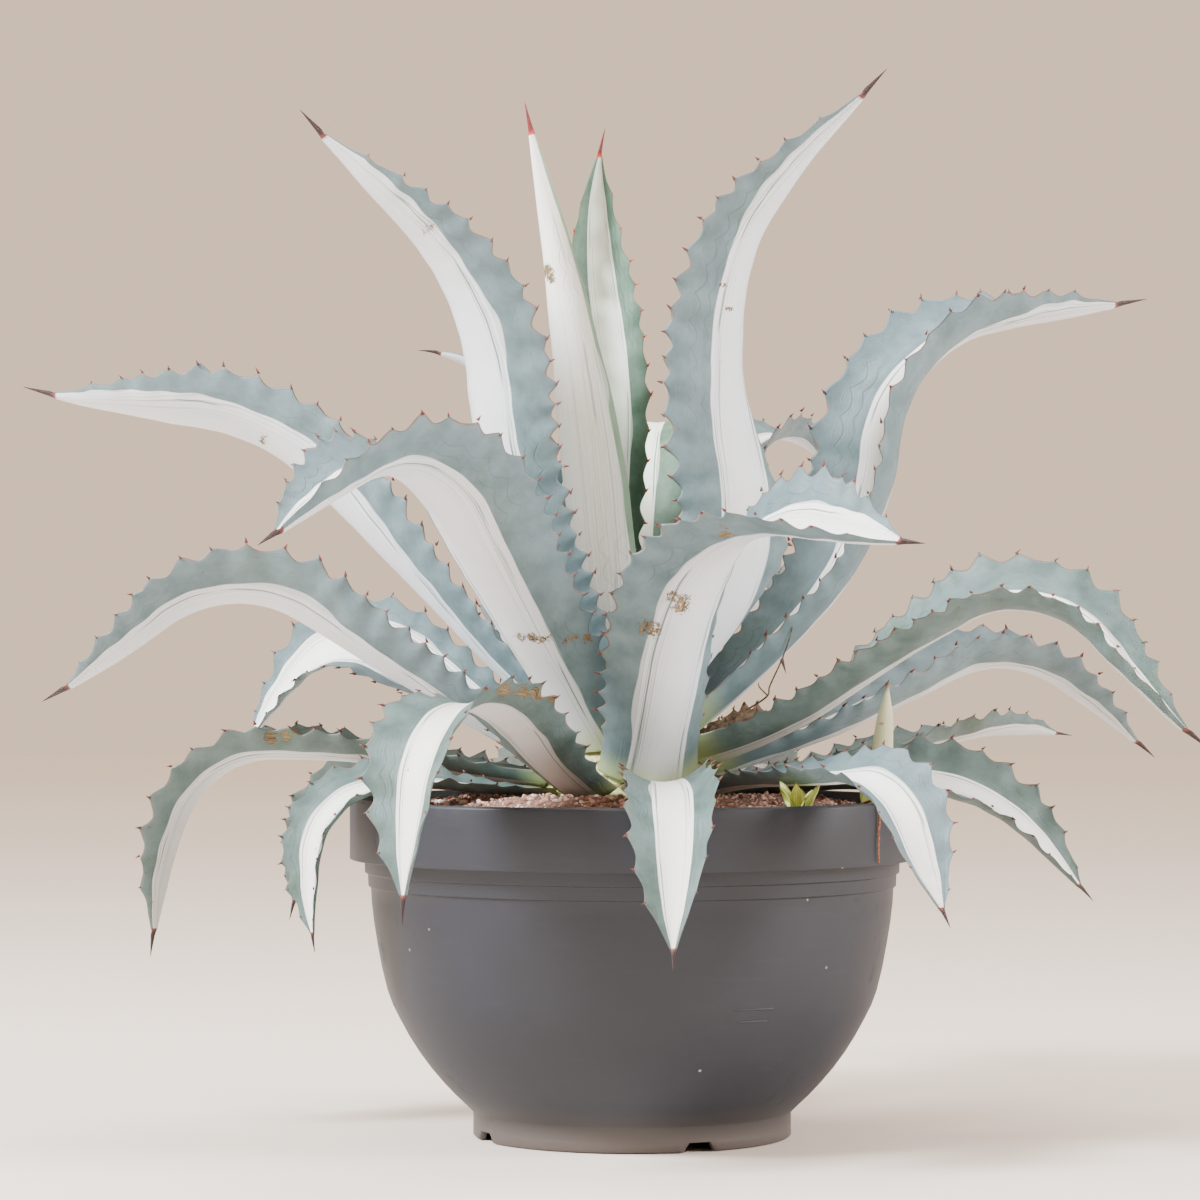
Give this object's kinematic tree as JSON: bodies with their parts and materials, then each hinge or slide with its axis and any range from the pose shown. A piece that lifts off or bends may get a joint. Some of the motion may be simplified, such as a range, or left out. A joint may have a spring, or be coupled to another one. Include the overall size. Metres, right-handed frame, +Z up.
{
  "type": "potted variegated agave",
  "caption": "Rosette of toothed, spined leaves with pale mid-bands around a rolled central spear, in gravelly soil in a round charcoal plastic bowl planter.",
  "frame": {"origin": "on the plane that the pot's foot stands on, below the middle of the whole plant's box; the pot's axis stands at x = 25.6 mm and y = -31.7 mm, because the leaves reach further to one side", "axes": "+Z up along the pot's axis, +X to the right and -Y towards the viewer of the pictured side"},
  "size_m": [0.7494, 0.5758, 0.6603],
  "materials": {
    "charcoal_plastic": "matte",
    "gravelly_soil": "matte",
    "stem_flesh": "satin",
    "leaf_flesh": "satin",
    "young_leaf_flesh": "satin",
    "offset_flesh": "satin",
    "dry_leaf": "matte",
    "dry_root_fibre": "matte"
  },
  "bodies": {
    "root": {"core": "stem_flesh", "dead_leaf": "dry_leaf", "dry_root": "dry_root_fibre", "leaf_arch_left": "leaf_flesh", "leaf_arch_right": "leaf_flesh", "leaf_back_high": "leaf_flesh", "leaf_back_left": "leaf_flesh", "leaf_back_low": "leaf_flesh", "leaf_back_low_left": "leaf_flesh", "leaf_back_low_right": "leaf_flesh", "leaf_back_mid": "leaf_flesh", "leaf_back_mid_right": "leaf_flesh", "leaf_back_right_high": "leaf_flesh", "leaf_back_tall": "leaf_flesh", "leaf_behind_left": "leaf_flesh", "leaf_front_big": "leaf_flesh", "leaf_front_left": "leaf_flesh", "leaf_front_right": "leaf_flesh", "leaf_front_short": "leaf_flesh", "leaf_high_left": "leaf_flesh", "leaf_high_right": "leaf_flesh", "leaf_inner_right": "leaf_flesh", "leaf_kinked_left": "leaf_flesh", "leaf_low_left": "leaf_flesh", "leaf_low_right": "leaf_flesh", "leaf_mid_left": "leaf_flesh", "leaf_mid_right": "leaf_flesh", "leaf_small_right": "leaf_flesh", "leaf_tall_left": "leaf_flesh", "leaf_tall_right": "leaf_flesh", "pot": "charcoal_plastic", "pup_front": "offset_flesh", "pup_right": "offset_flesh", "soil": "gravelly_soil", "spear": "young_leaf_flesh"}
  },
  "joints": []
}
